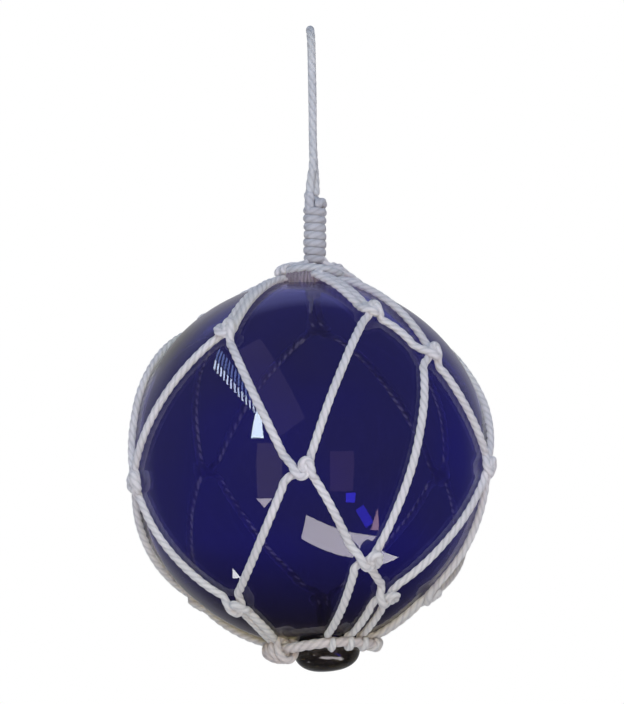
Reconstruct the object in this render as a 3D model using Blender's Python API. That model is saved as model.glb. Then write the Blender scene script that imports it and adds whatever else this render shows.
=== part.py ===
"""Glass float ball: a blown, sealed glass ball in a knotted rope net, hung from a whipped rope loop.

Metres, +Z up. The origin is the hang point, on the underside of the loop's top bend, and -Y is the front.
Run with: blender --background --python part.py
"""
from math import asin, ceil, cos, pi, radians, sin, sqrt

import bmesh
import bpy
from mathutils import Euler, Matrix, Vector

# Driving dimensions, in metres and degrees.
GAP = 0.0003                          # clearance between pieces that touch
BALL_RADIUS = 0.0996                  # about an 8 inch ball
BALL_CENTRE = Vector((0.0, 0.0, -0.2361))
BALL_FACETS = (36, 16)                # round the axis, and from pole to pole

BUTTON_RADIUS = 0.0177                # the seal: a squashed bead of glass over the blow hole
BUTTON_HALF_HEIGHT = 0.0108
BUTTON_CENTRE_DEPTH = 0.0065          # from the ball's surface out to the bead's centre
BUTTON_TILT = Euler((radians(-6.4), radians(-5.2), 0.0))
BUTTON_FACETS = (16, 8)

ROPE_DIAMETER = 0.0045                # 3/16 inch three-strand cotton, pulled tight
ROPE_SECTION = Vector((ROPE_DIAMETER, ROPE_DIAMETER))
NET_SECTION = Vector((ROPE_DIAMETER, 0.0038))    # pressed on the glass: its width and its thickness
ROPE_LIFT = 0.0026                    # rope centre above the glass
ROPE_SIDES = 6
PAIR = 0.0023                         # half the usual spacing of the two ropes of a doubled run
SEGMENT_LENGTH = 0.0215               # longest straight piece of a net rope

KNOT_SIZE = Vector((0.0066, 0.0048, 0.0042))     # half width, half length, half height of a mesh knot
KNOT_CORNER = 0.0032                  # a run leaves its knot this far to its own side of the middle
KNOT_LIFT = 0.0047                    # knot centre above the glass
LUMP_FACETS = (8, 4)
CROWN_HITCH = Vector((0.0048, 0.0040, 0.0040))   # half sizes along the ring, and across it twice
COLLAR_HITCH = Vector((0.0058, 0.0048, 0.0058))
GATHER_SIZE = Vector((0.0110, 0.0047, 0.0090))   # the big lump where two runs share a hitch
GATHER_ANGLE = -84

CROWN_CENTRE = BALL_CENTRE + Vector((0.0006, 0.0, 0.1058))
CROWN_RADIUS = 0.0167                 # to the ring's centre line
CROWN_ROPE_RADIUS = ROPE_DIAMETER / 2
CROWN_SEGMENTS = 24
CROWN_LEGS = (-80, 98)                # where the hanger's legs leave the ring, degrees round it
LEG_STATIONS = (0.0, 0.3, 0.6, 0.85)  # along a leg, from the ring to the middle of the whipping's foot
DRAWSTRING_RADIUS = 0.0152            # a second turn of rope, on the glass under the crown ring
DRAWSTRING_SEGMENTS = 18

COLLAR_TILT = Euler((radians(-7.9), radians(-4.75), 0.0))
COLLAR_RADIUS = 0.0270                # the bottom ring, to its centre line
COLLAR_ROPE_RADIUS = 0.0030
COLLAR_LIFT = 0.0078                  # ring centre line above the glass
COLLAR_SEGMENTS = 28

WHIPPING_X = 0.0030                   # the whipped part leans a little to the right of the plumb line
WHIPPING_BOTTOM = -0.12355
WHIPPING_TOP = -0.0905
WHIPPING_TURNS = 8
TURN_STEPS = 3                        # heights at which each turn's ridge is drawn
WHIPPING_RADIUS = 0.0067
WHIPPING_GROOVE = 0.0010              # depth of the groove between two turns
WHIPPING_DEPTH_RATIO = 1.12           # deeper, front to back, than it is wide
WHIPPING_SIDES = 12
TUCK_PLACE = Vector((0.0041, -0.0026, -0.0038))  # of the rope's tucked end, from the whipping's top
TUCK_SIZE = Vector((0.0030, 0.0030, 0.0035))

# The net's knots: longitude from the front (+ to the right) and latitude, in degrees. There are five
# columns of diamonds, with knots in an upper, a middle and a lower row, and the net's last run of
# rope laces two of the diamonds' sides together at c1 and c2.
KNOTS = {
    "u1": (-36, 42.5), "u2": (30.5, 51), "u3": (124, 48), "u4": (176, 48), "u5": (-122, 48),
    "m1": (-2.2, -1.9), "m2": (72, -2), "m3": (131, -5), "m4": (-143, -3), "m5": (-69, -6.5),
    "l1": (-35, -48.5), "l2": (34, -44.5), "l3": (67.3, -45.8), "l4": (174, -50), "l5": (-104, -51),
    "c1": (49.5, 34), "c2": (20.5, -30),
}
# Runs of rope from knot to knot, and how far each bows sideways at its middle, in metres.
RUNS = [
    ("u1", "m5", 0.0015), ("u1", "m1", 0.0005), ("u2", "m1", -0.0015), ("u2", "c1", 0.001), ("c1", "m2", -0.002),
    ("u3", "m2", 0.006), ("u3", "m3", 0.0), ("u4", "m3", 0.0), ("u4", "m4", 0.0), ("u5", "m4", 0.0),
    ("u5", "m5", 0.012), ("c1", "c2", -0.0006),
    ("m1", "l1", 0.0008), ("m1", "c2", 0.0006), ("c2", "l2", 0.0), ("m2", "l2", -0.003), ("m2", "l3", 0.002),
    ("m3", "l3", 0.0), ("m3", "l4", 0.0), ("m4", "l4", 0.0), ("m4", "l5", 0.0), ("m5", "l5", 0.0),
    ("m5", "l1", -0.001),
]
# Doubled runs, and the lacing's two single ones, from a knot to a ring: the place round the ring in
# degrees from its front, + to the right, the half spacing of the two ropes, and their bow.
CROWN_RUNS = [
    ("u1", -48, PAIR, 0.0), ("u2", 14, PAIR, 0.0), ("u3", 128, PAIR, 0.0), ("u4", 178, PAIR, 0.0),
    ("u5", -124, PAIR, 0.0), ("c1", 62, 0.0, 0.0),
]
COLLAR_RUNS = [
    ("l1", -62, PAIR, 0.002), ("l2", 38, 0.0040, 0.0), ("l3", 78, PAIR, 0.0), ("l4", 178, PAIR, 0.0),
    ("l5", -100, PAIR, 0.0), ("c2", 4, 0.0, 0.0),
]

# The hanging loop's centre line, from the whipping up round the hang point and back down.
LOOP_ROUTE = [
    (-0.0001, -0.0019, -0.0902),
    (0.0006, -0.0025, -0.0820),
    (0.0019, -0.0036, -0.0730),
    (0.0020, -0.0049, -0.0640),
    (0.0018, -0.0062, -0.0540),
    (0.0017, -0.0076, -0.0430),
    (0.0016, -0.0090, -0.0320),
    (0.0014, -0.0103, -0.0210),
    (0.0012, -0.0111, -0.0120),
    (0.0010, -0.0107, -0.0055),
    (0.0007, -0.0079, -0.0006),
    (0.0004, -0.0042, 0.0017),
    (0.0002, 0.0000, 0.00225),
    (0.0004, 0.0042, 0.0017),
    (0.0007, 0.0079, -0.0006),
    (0.0010, 0.0107, -0.0055),
    (0.0012, 0.0111, -0.0120),
    (0.0014, 0.0103, -0.0210),
    (0.0016, 0.0090, -0.0320),
    (0.0017, 0.0076, -0.0430),
    (0.0018, 0.0062, -0.0540),
    (0.0021, 0.0049, -0.0640),
    (0.0027, 0.0036, -0.0730),
    (0.0033, 0.0025, -0.0820),
    (0.0035, 0.0019, -0.0902),
]
LOOP_SPACING = 0.0060                 # between the points of the loop's tube

LOOP_FINENESS = 16                    # steps between two route points when the curve is measured
SHARP_ANGLE = radians(40)

# Each piece's colour, roughness and metallic value.
FINISHES = {
    "glass_ball": ((0.012, 0.012, 0.110), 0.05, 0.0),
    "netting": ((0.80, 0.79, 0.80), 0.9, 0.0),
    "bottom_ring": ((0.74, 0.71, 0.73), 0.9, 0.0),
    "crown_ring": ((0.78, 0.79, 0.82), 0.9, 0.0),
    "whipping": ((0.72, 0.74, 0.79), 0.9, 0.0),
    "hanging_loop": ((0.76, 0.76, 0.79), 0.9, 0.0),
}


def clear_scene():
    for thing in list(bpy.data.objects):
        bpy.data.objects.remove(thing, do_unlink=True)


def material(piece):
    colour, roughness, metallic = FINISHES[piece]
    made = bpy.data.materials.new(piece + "_finish")
    made.use_nodes = True
    shader = made.node_tree.nodes["Principled BSDF"]
    shader.inputs["Base Color"].default_value = (*colour, 1.0)
    shader.inputs["Roughness"].default_value = roughness
    shader.inputs["Metallic"].default_value = metallic
    return made


def direction(longitude, latitude):
    """Unit vector from the ball's centre: longitude 0 is the front, latitude 90 the top."""
    east, north = radians(longitude), radians(latitude)
    return Vector((cos(north) * sin(east), -cos(north) * cos(east), sin(north)))


def above_glass(longitude, latitude, height):
    return BALL_CENTRE + direction(longitude, latitude) * (BALL_RADIUS + height)


def crown_point(angle):
    turn = radians(angle)
    return CROWN_CENTRE + Vector((sin(turn), -cos(turn), 0.0)) * CROWN_RADIUS


def collar_frame():
    """Centre and rotation of the bottom ring: its own -Z points away from the ball."""
    polar = asin(COLLAR_RADIUS / (BALL_RADIUS + COLLAR_LIFT))
    turn = COLLAR_TILT.to_matrix()
    drop = (BALL_RADIUS + COLLAR_LIFT) * cos(polar)
    return BALL_CENTRE + turn @ Vector((0.0, 0.0, -drop)), turn


def collar_point(angle):
    centre, turn = collar_frame()
    around = radians(angle)
    return centre + turn @ (Vector((sin(around), -cos(around), 0.0)) * COLLAR_RADIUS)


def rope_run(start, end, side=0.0, bow=0.0):
    """Points of a taut run over the glass, from one point to another.

    It follows the great circle, its height blends from one end's to the other's, side moves it
    parallel to itself, for a doubled run, and bow pushes its middle sideways.
    """
    first, last = start - BALL_CENTRE, end - BALL_CENTRE
    angle = first.angle(last)
    axis = first.cross(last).normalized()
    count = max(2, ceil(angle * BALL_RADIUS / SEGMENT_LENGTH))
    points = []
    for step in range(count + 1):
        share = step / count
        height = first.length + (last.length - first.length) * share ** 3
        outward = Matrix.Rotation(angle * share, 3, axis) @ first.normalized()
        shifted = outward * height + axis * (side + bow * sin(pi * share))
        points.append(BALL_CENTRE + shifted.normalized() * height)
    return points


def tube_mesh(points, size):
    """Closed tube along points over the ball, with a flat side towards the glass.

    size holds the tube's width along the glass and its thickness.
    """
    shape = bmesh.new()
    rings = []
    for index, point in enumerate(points):
        before = points[max(index - 1, 0)]
        after = points[min(index + 1, len(points) - 1)]
        along = (after - before).normalized()
        outward = point - BALL_CENTRE
        outward = (outward - along * outward.dot(along)).normalized()
        sideways = along.cross(outward)
        ring = []
        for side in range(ROPE_SIDES):
            turn = 2 * pi * (side + 0.5) / ROPE_SIDES
            offset = outward * cos(turn) * size.y + sideways * sin(turn) * size.x
            ring.append(shape.verts.new(point + offset / 2))
        rings.append(ring)
    for near, far in zip(rings, rings[1:]):
        for side in range(ROPE_SIDES):
            after = (side + 1) % ROPE_SIDES
            shape.faces.new((near[side], far[side], far[after], near[after]))
    shape.faces.new(rings[0])
    shape.faces.new(reversed(rings[-1]))
    bmesh.ops.recalc_face_normals(shape, faces=shape.faces)
    return to_mesh(shape, "tube")


def lump_mesh(centre, size, along, outward):
    """Rounded lump of size.x along one direction, size.z outward and size.y across."""
    outward = (outward - along * outward.dot(along)).normalized()
    across = outward.cross(along)
    place = Matrix((along * size.x, across * size.y, outward * size.z)).transposed().to_4x4()
    place.translation = centre
    shape = bmesh.new()
    around, up = LUMP_FACETS
    bmesh.ops.create_uvsphere(shape, u_segments=around, v_segments=up, radius=1.0, matrix=place)
    return to_mesh(shape, "lump")


def torus_mesh(centre, turn, ring_radius, rope_radius, segments):
    shape = bmesh.new()
    rings = []
    for segment in range(segments):
        around = 2 * pi * segment / segments
        outward = Vector((sin(around), -cos(around), 0.0))
        ring = []
        for side in range(ROPE_SIDES):
            angle = 2 * pi * (side + 0.5) / ROPE_SIDES
            reach = ring_radius + rope_radius * cos(angle)
            local = outward * reach + Vector((0.0, 0.0, rope_radius * sin(angle)))
            ring.append(shape.verts.new(centre + turn @ local))
        rings.append(ring)
    for segment in range(segments):
        near, far = rings[segment], rings[(segment + 1) % segments]
        for side in range(ROPE_SIDES):
            after = (side + 1) % ROPE_SIDES
            shape.faces.new((near[side], near[after], far[after], far[side]))
    bmesh.ops.recalc_face_normals(shape, faces=shape.faces)
    return to_mesh(shape, "torus")


def to_mesh(shape, name):
    mesh = bpy.data.meshes.new(name)
    shape.to_mesh(mesh)
    shape.free()
    return mesh


def place(name, mesh, finish, smooth=True):
    thing = bpy.data.objects.new(name, mesh)
    bpy.context.scene.collection.objects.link(thing)
    if finish:
        mesh.materials.clear()
        mesh.materials.append(finish)
    if smooth:
        mesh.shade_smooth()
        mesh.set_sharp_from_angle(angle=SHARP_ANGLE)
    return thing


def fuse(name, meshes, finish, cutters=()):
    """One solid from overlapping meshes, with the cutters' shapes taken out of it."""
    helpers = bpy.data.collections.new(name + "_parts")
    bpy.context.scene.collection.children.link(helpers)
    for mesh in meshes[1:]:
        helpers.objects.link(bpy.data.objects.new("part", mesh))
    base = bpy.data.objects.new("base", meshes[0])
    bpy.context.scene.collection.objects.link(base)
    union = base.modifiers.new("union", "BOOLEAN")
    union.operation = "UNION"
    union.operand_type = "COLLECTION"
    union.collection = helpers
    tools = []
    for cutter in cutters:
        tool = place("cutter", cutter, None, smooth=False)
        tools.append(tool)
        cut = base.modifiers.new("cut", "BOOLEAN")
        cut.operation = "DIFFERENCE"
        cut.object = tool
    bpy.context.view_layer.update()
    graph = bpy.context.evaluated_depsgraph_get()
    mesh = bpy.data.meshes.new_from_object(base.evaluated_get(graph))
    for thing in [base, *tools, *helpers.objects]:
        bpy.data.objects.remove(thing, do_unlink=True)
    bpy.data.collections.remove(helpers)
    mesh.name = name
    return place(name, mesh, finish)


def make_glass_ball(finish):
    """The blown ball and the seal over its blow hole, one piece of glass."""
    ball = bmesh.new()
    turn = Matrix.Translation(BALL_CENTRE)
    around, up = BALL_FACETS
    bmesh.ops.create_uvsphere(ball, u_segments=around, v_segments=up, radius=BALL_RADIUS, matrix=turn)
    button = bmesh.new()
    squash = Matrix.Diagonal((BUTTON_RADIUS, BUTTON_RADIUS, BUTTON_HALF_HEIGHT, 1.0))
    reach = Matrix.Translation((0.0, 0.0, -(BALL_RADIUS + BUTTON_CENTRE_DEPTH)))
    lean = BUTTON_TILT.to_matrix().to_4x4()
    around, up = BUTTON_FACETS
    bmesh.ops.create_uvsphere(button, u_segments=around, v_segments=up, radius=1.0,
                              matrix=turn @ lean @ reach @ squash)
    return fuse("glass_ball", [to_mesh(ball, "ball"), to_mesh(button, "button")], finish)


def knot(longitude, latitude):
    outward = direction(longitude, latitude)
    east = Vector((-outward.y, outward.x, 0.0)).normalized()
    return lump_mesh(above_glass(longitude, latitude, KNOT_LIFT), KNOT_SIZE, east, outward)


def run_end(name, other):
    """Where a run leaves a knot: at the knot's right or left corner, by where the run goes."""
    longitude, latitude = KNOTS[name]
    turn = (KNOTS[other][0] - longitude + 180) % 360 - 180
    outward = direction(longitude, latitude)
    east = Vector((-outward.y, outward.x, 0.0)).normalized()
    corner = KNOT_CORNER if turn > 0 else -KNOT_CORNER
    reach = outward * (BALL_RADIUS + ROPE_LIFT) + east * corner
    return BALL_CENTRE + reach.normalized() * (BALL_RADIUS + ROPE_LIFT)


def hitch(point, centre, turn, size):
    """The lump of a rope hitched round a ring at a point of the ring's centre line."""
    spoke = (point - centre).normalized()
    along = (turn @ Vector((0.0, 0.0, 1.0))).cross(spoke).normalized()
    return lump_mesh(point, size, along, spoke)


def make_netting(finish):
    """The knotted net, its doubled runs hitched to both rings, and the drawstring under the crown ring."""
    meshes = [knot(*spot) for spot in KNOTS.values()]
    for first, last, bow in RUNS:
        path = rope_run(run_end(first, last), run_end(last, first), bow=bow)
        meshes.append(tube_mesh(path, NET_SECTION))
    flat = Matrix.Identity(3)
    collar_centre, collar_turn = collar_frame()
    ends = [(name, crown_point(angle), side, bow) for name, angle, side, bow in CROWN_RUNS]
    ends += [(name, collar_point(angle), side, bow) for name, angle, side, bow in COLLAR_RUNS]
    for name, end, side, bow in ends:
        start = above_glass(*KNOTS[name], ROPE_LIFT)
        for sign in ((-1, 1) if side else (0,)):
            path = rope_run(start, end, side=sign * side, bow=bow)
            meshes.append(tube_mesh(path, NET_SECTION))
    for name, angle, side, bow in CROWN_RUNS:
        meshes.append(hitch(crown_point(angle), CROWN_CENTRE, flat, CROWN_HITCH))
    for name, angle, side, bow in COLLAR_RUNS:
        meshes.append(hitch(collar_point(angle), collar_centre, collar_turn, COLLAR_HITCH))
    meshes.append(hitch(collar_point(GATHER_ANGLE), collar_centre, collar_turn, GATHER_SIZE))
    rise = sqrt((BALL_RADIUS + ROPE_LIFT) ** 2 - DRAWSTRING_RADIUS ** 2)
    drawstring = Vector((CROWN_CENTRE.x, CROWN_CENTRE.y, BALL_CENTRE.z + rise))
    meshes.append(torus_mesh(drawstring, flat, DRAWSTRING_RADIUS, ROPE_DIAMETER / 2, DRAWSTRING_SEGMENTS))
    ring_ways = [
        torus_mesh(CROWN_CENTRE, flat, CROWN_RADIUS, CROWN_ROPE_RADIUS + GAP, CROWN_SEGMENTS),
        torus_mesh(collar_centre, collar_turn, COLLAR_RADIUS, COLLAR_ROPE_RADIUS + GAP, COLLAR_SEGMENTS),
    ]
    return fuse("netting", meshes, finish, ring_ways)


def smooth_curve(route, spacing):
    """Points at an even spacing on a smooth curve through the route's points (Catmull-Rom)."""
    route = [Vector(point) for point in route]
    ends = [route[0] * 2 - route[1], *route, route[-1] * 2 - route[-2]]
    fine = []
    for before, start, end, after in zip(ends, ends[1:], ends[2:], ends[3:]):
        for step in range(LOOP_FINENESS):
            t = step / LOOP_FINENESS
            curl = 2 * before - 5 * start + 4 * end - after
            twist = 3 * (start - end) + after - before
            fine.append(start + (end - before + curl * t + twist * t * t) * (t / 2))
    fine.append(route[-1])
    lengths = [0.0]
    for near, far in zip(fine, fine[1:]):
        lengths.append(lengths[-1] + (far - near).length)
    count = round(lengths[-1] / spacing)
    points = []
    index = 0
    for step in range(count):
        target = lengths[-1] * step / count
        while lengths[index + 1] < target:
            index += 1
        share = (target - lengths[index]) / (lengths[index + 1] - lengths[index])
        points.append(fine[index].lerp(fine[index + 1], share))
    points.append(route[-1])
    return points


def make_crown_ring(finish):
    """The eye at the foot of the hanger: a ring of rope, and its two legs up to the whipping."""
    flat = Matrix.Identity(3)
    ring = torus_mesh(CROWN_CENTRE, flat, CROWN_RADIUS, CROWN_ROPE_RADIUS, CROWN_SEGMENTS)
    left, right = (crown_point(angle) for angle in CROWN_LEGS)
    peak = Vector((WHIPPING_X, 0.0, WHIPPING_BOTTOM - GAP - CROWN_ROPE_RADIUS))
    legs = []
    for foot in (left, right):
        leg = []
        for share in LEG_STATIONS:
            point = foot.lerp(peak, share)
            point.z = foot.z + (peak.z - foot.z) * sin(pi / 2 * share)
            leg.append(point)
        legs.append(leg)
    arch = legs[0] + [peak] + legs[1][::-1]
    return fuse("crown_ring", [ring, tube_mesh(arch, ROPE_SECTION)], finish)


def make_whipping(finish):
    """Rope wound round the hanger's legs, a rounded ridge for each turn, and its tucked end."""
    levels = WHIPPING_TURNS * TURN_STEPS
    shape = bmesh.new()
    rings = []
    for level in range(levels + 1):
        share = level / levels
        ridge = sin(pi * (level % TURN_STEPS) / TURN_STEPS)
        radius = WHIPPING_RADIUS - WHIPPING_GROOVE * (1 - ridge)
        height = WHIPPING_BOTTOM + (WHIPPING_TOP - WHIPPING_BOTTOM) * share
        ring = []
        for side in range(WHIPPING_SIDES):
            turn = 2 * pi * side / WHIPPING_SIDES
            x = WHIPPING_X + radius * cos(turn)
            y = radius * WHIPPING_DEPTH_RATIO * sin(turn)
            ring.append(shape.verts.new((x, y, height)))
        rings.append(ring)
    for low, high in zip(rings, rings[1:]):
        for side in range(WHIPPING_SIDES):
            after = (side + 1) % WHIPPING_SIDES
            shape.faces.new((low[side], low[after], high[after], high[side]))
    shape.faces.new(reversed(rings[0]))
    shape.faces.new(rings[-1])
    bmesh.ops.recalc_face_normals(shape, faces=shape.faces)
    tuck = Vector((WHIPPING_X, 0.0, WHIPPING_TOP)) + TUCK_PLACE
    end = lump_mesh(tuck, TUCK_SIZE, Vector((1.0, 0.0, 0.0)), Vector((0.0, 0.0, 1.0)))
    return fuse("whipping", [to_mesh(shape, "turns"), end], finish)


def make_hanging_loop(finish):
    curve = bpy.data.curves.new("hanging_loop", "CURVE")
    curve.dimensions = "3D"
    curve.bevel_depth = ROPE_DIAMETER / 2
    curve.bevel_resolution = 2
    curve.use_fill_caps = True
    points = smooth_curve(LOOP_ROUTE, LOOP_SPACING)
    spline = curve.splines.new("POLY")
    spline.points.add(len(points) - 1)
    for vertex, point in zip(spline.points, points):
        vertex.co = (*point, 1.0)
    curve.materials.append(finish)
    loop = bpy.data.objects.new("hanging_loop", curve)
    bpy.context.scene.collection.objects.link(loop)
    return loop


def make_bottom_ring(finish):
    centre, turn = collar_frame()
    mesh = torus_mesh(centre, turn, COLLAR_RADIUS, COLLAR_ROPE_RADIUS, COLLAR_SEGMENTS)
    return place("bottom_ring", mesh, finish)


def main():
    clear_scene()
    make_glass_ball(material("glass_ball"))
    make_netting(material("netting"))
    make_bottom_ring(material("bottom_ring"))
    make_crown_ring(material("crown_ring"))
    make_whipping(material("whipping"))
    make_hanging_loop(material("hanging_loop"))


main()
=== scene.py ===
"""The looks of the glass float ball: blown cobalt glass in a net of laid cotton rope, hung by its loop.

Metres, +Z up, -Y towards the viewer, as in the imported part. The origin is the hang point.
"""
from math import asin, cos, degrees, pi, radians, sin, tau

import bpy
import numpy as np
from mathutils import Euler, Matrix, Vector, noise


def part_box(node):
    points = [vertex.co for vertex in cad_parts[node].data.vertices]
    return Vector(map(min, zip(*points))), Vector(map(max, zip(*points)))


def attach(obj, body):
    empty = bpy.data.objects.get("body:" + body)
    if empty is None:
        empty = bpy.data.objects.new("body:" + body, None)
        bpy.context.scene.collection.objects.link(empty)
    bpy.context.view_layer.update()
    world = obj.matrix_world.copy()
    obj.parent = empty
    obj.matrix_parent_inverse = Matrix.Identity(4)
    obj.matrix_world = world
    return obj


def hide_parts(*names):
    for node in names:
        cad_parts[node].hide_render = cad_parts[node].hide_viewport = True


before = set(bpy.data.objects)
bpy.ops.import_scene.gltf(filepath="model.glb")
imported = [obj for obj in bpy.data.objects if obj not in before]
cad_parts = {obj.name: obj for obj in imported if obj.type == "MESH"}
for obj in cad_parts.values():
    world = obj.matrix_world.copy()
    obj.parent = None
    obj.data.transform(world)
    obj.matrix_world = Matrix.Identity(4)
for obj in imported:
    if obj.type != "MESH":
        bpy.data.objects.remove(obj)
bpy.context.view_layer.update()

MM = 0.001
FRONT, UP = (0.0, -1.0, 0.0), (0.0, 0.0, 1.0)
noise.seed_set(1)                      # without it, noise_vector differs from run to run

# ---------------------------------------------------------------- sizes, from the frame and the part
GLASS_LOW, GLASS_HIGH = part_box("glass_ball")
BALL_RADIUS = (GLASS_HIGH.x - GLASS_LOW.x) / 2
BALL_CENTRE = Vector((
    (GLASS_LOW.x + GLASS_HIGH.x) / 2,
    (GLASS_LOW.y + GLASS_HIGH.y) / 2,
    GLASS_HIGH.z - BALL_RADIUS,
))
WALL = 0.0032                          # of the glass
THICK_BASE = 0.054                     # height over which it darkens towards its base
SEAL_RADIUS = 0.0177
SEAL_HALF_HEIGHT = 0.0108
SEAL_DEPTH = 0.0065                    # from the ball's surface out to the seal's middle
SEAL_TILT = Euler((radians(-6.4), radians(-5.2), 0.0))

ROPE_RADIUS = 0.00234
ROPE_LIFT = 0.0018                     # rope centre above the glass
ROPE_PRESS = 0.90                      # a net rope's thickness, as a share of its width
PAIR = 0.0024                          # half the usual spacing of the two ropes of a doubled run
LAY = 0.0160                           # length in which a strand goes once round the rope
STRANDS = 3
STRAND_SPREAD = 0.42                   # strand centres from the rope's, as a share of a strand's radius
RING_POINTS = 18                       # vertices round a rope, six for each strand
STATION = 0.0008                       # between the rings of vertices along a rope
TWIST = -tau / LAY                     # S-laid

CROWN_CENTRE = BALL_CENTRE + Vector((0.0006, 0.0, 0.1058))
CROWN_RADIUS = 0.0167
CROWN_ROPE = 0.00235
CROWN_SAG = 0.0033                     # the ring's left and right ends hang this much lower
DRAWSTRING_RADIUS = 0.0152             # a second turn of rope, on the glass under the crown ring
LACING_REACH = 0.0034                  # a thin line wound round the drawstring, from its middle
LACING_ROPE = 0.0010
COLLAR_TILT = Euler((radians(-7.9), radians(-4.75), 0.0))
COLLAR_RADIUS = 0.0270
COLLAR_ROPE = 0.0029
COLLAR_LIFT = 0.0078                   # ring centre line above the glass
GATHER_ROPE = 0.0020

WHIPPING_X = 0.0030
WHIPPING_FIRST = -0.0985               # height of its top turn, at the front
WHIPPING_PITCH = 0.00443
WHIPPING_TURNS = 7
WHIPPING_REACH = 0.00475               # from its middle out to its rope's centre
WHIPPING_SECTION = (0.0017, 0.0023)    # half sizes of the pressed rope, outward and up

# The net's knots: longitude from the front (+ to the right) and latitude, in degrees.
KNOTS = {
    "u1": (-36, 42.5), "u2": (30.5, 51), "u3": (124, 48), "u4": (176, 48), "u5": (-122, 48),
    "m1": (-2.2, -1.9), "m2": (72, -2), "m3": (131, -5), "m4": (-143, -3), "m5": (-69, -6.5),
    "l1": (-35, -48.5), "l2": (34, -44.5), "l3": (67.3, -45.8), "l4": (174, -50), "l5": (-104, -51),
    "c1": (49.5, 34), "c2": (20.5, -30),
}
# Each knot's four legs: what they run to, in the order upper left, upper right, lower left, lower
# right. "crown" and "collar" are the rings.
LEGS = {
    "u1": ("crown", "crown", "m5", "m1"), "u2": ("crown", "crown", "m1", "c1"),
    "u3": ("crown", "crown", "m2", "m3"), "u4": ("crown", "crown", "m3", "m4"),
    "u5": ("crown", "crown", "m4", "m5"), "c1": ("u2", "crown", "c2", "m2"),
    "m1": ("u1", "u2", "l1", "c2"), "m2": ("c1", "u3", "l2", "l3"),
    "m3": ("u3", "u4", "l3", "l4"), "m4": ("u4", "u5", "l4", "l5"),
    "m5": ("u5", "u1", "l5", "l1"), "c2": ("m1", "c1", "collar", "l2"),
    "l1": ("m5", "m1", "collar", "collar"), "l2": ("c2", "m2", "collar", "collar"),
    "l3": ("m2", "m3", "collar", "collar"), "l4": ("m3", "m4", "collar", "collar"),
    "l5": ("m4", "m5", "collar", "collar"),
}
# Where a leg turns into a run, in millimetres to the right of its knot and up, in the same order.
# None stands for a leg that leaves its corner straight towards where it goes.
LEG_PLACES = {
    "u1": (None, None, (-6.5, -5.0), (4.8, -6.5)), "u2": (None, None, (-7.2, -6.5), (5.8, -4.0)),
    "c1": ((-6.8, 6.3), None, (-8.0, -6.5), (4.5, -6.5)),
    "m1": ((-9.8, 6.5), (4.7, 6.5), (-8.6, -6.5), (7.0, -6.5)),
    "m2": ((-2.0, 6.5), (4.0, 5.0), (-3.6, -6.5), (1.0, -6.5)),
    "m5": ((-4.0, 5.0), (0.0, 6.5), (-4.5, -6.5), (0.5, -6.5)),
    "c2": ((-10.5, 6.5), (5.6, 6.5), (-5.4, -6.5), (3.0, -6.5)),
    "l1": ((-7.4, 4.0), (3.8, 6.5), None, None), "l2": ((-5.2, 6.5), (5.7, 5.8), None, None),
    "l3": ((0.0, 6.5), None, None, None), "l5": (None, (2.0, 6.5), None, None),
}
# Runs of rope from a knot down to the next, and how far each bows sideways at its middle.
RUNS = [
    ("u1", "m5", 0.0015), ("u1", "m1", 0.0005), ("u2", "m1", -0.0015), ("u2", "c1", 0.001),
    ("c1", "m2", -0.002),
    ("u3", "m2", 0.006), ("u3", "m3", 0.0), ("u4", "m3", 0.0), ("u4", "m4", 0.0), ("u5", "m4", 0.0),
    ("u5", "m5", 0.012), ("c1", "c2", -0.0006),
    ("m1", "l1", 0.0008), ("m1", "c2", 0.0006), ("c2", "l2", 0.0), ("m2", "l2", -0.003), ("m2", "l3", 0.002),
    ("m3", "l3", 0.0), ("m3", "l4", 0.0), ("m4", "l4", 0.0), ("m4", "l5", 0.0), ("m5", "l5", 0.0),
    ("m5", "l1", -0.001),
]
# Runs from a knot to a ring: the place round the ring in degrees from its front, + to the right, and
# the half spacing of its two ropes, or 0 for a single one.
CROWN_RUNS = {
    "u1": (-60, PAIR), "u2": (14, PAIR), "u3": (128, PAIR), "u4": (178, PAIR), "u5": (-124, PAIR),
    "c1": (62, 0.0),
}
COLLAR_RUNS = {
    "l1": (-62, PAIR), "l2": (38, 0.0040), "l3": (78, PAIR), "l4": (178, PAIR), "l5": (-100, PAIR),
    "c2": (4, 0.0),
}
COLLAR_BOWS = {"l1": 0.002}
LAID_OVER = ("u3",)                    # the runs that end over the crown's ring; others are hitched on
TUCKED_UNDER = ("u2", "c1")
U2_LUMP = [(1.6, -18.4, -3.4), (4.2, -18.9, -3.6), (7.2, -18.6, -4.2)]    # mm from the crown's centre
HITCH_ROPE = 0.0019                    # radius of a run's end, pulled tight on its ring
LUMP_ROPE = 0.0034
TAUT = 0.033                           # length of a taut rope from the ring's top down to the glass

# A knot is a sheet bend: the upper rope's bight, and the lower rope that goes round it. Millimetres
# to the right, up, and above the glass.
BIGHT = [(-5.4, 1.4, 4.6), (-3.4, -2.0, 6.2), (-0.8, -4.3, 6.2), (2.2, -3.6, 4.6), (3.4, 0.6, 2.6)]
BEND = [
    (5.4, -3.2, 4.6), (4.8, 0.2, 6.2), (4.0, 3.2, 6.8), (2.0, 4.2, 6.8), (0.4, 2.4, 6.2),
    (-0.2, -0.6, 4.6), (-2.6, -2.8, 2.8),
]
CORE = [(0.6, 3.0, 4.4), (1.6, 1.0, 4.8), (1.7, -1.0, 4.8), (0.2, -3.0, 4.4)]
CORE_RADIUS = 0.0030
KNOT_FLATNESS = {"l3": 0.55, "l5": 0.35, "u5": 0.7, "m5": 0.5, "m2": 0.5}    # pressed flatter
KNOT_SIZE = 0.88                       # of a knot that KNOT_SIZES doesn't name
KNOT_SIZES = {"u2": 0.74, "c1": 0.72, "m1": 0.95, "c2": 0.95, "l5": 0.75}    # as shares of the tables' sizes
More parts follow.
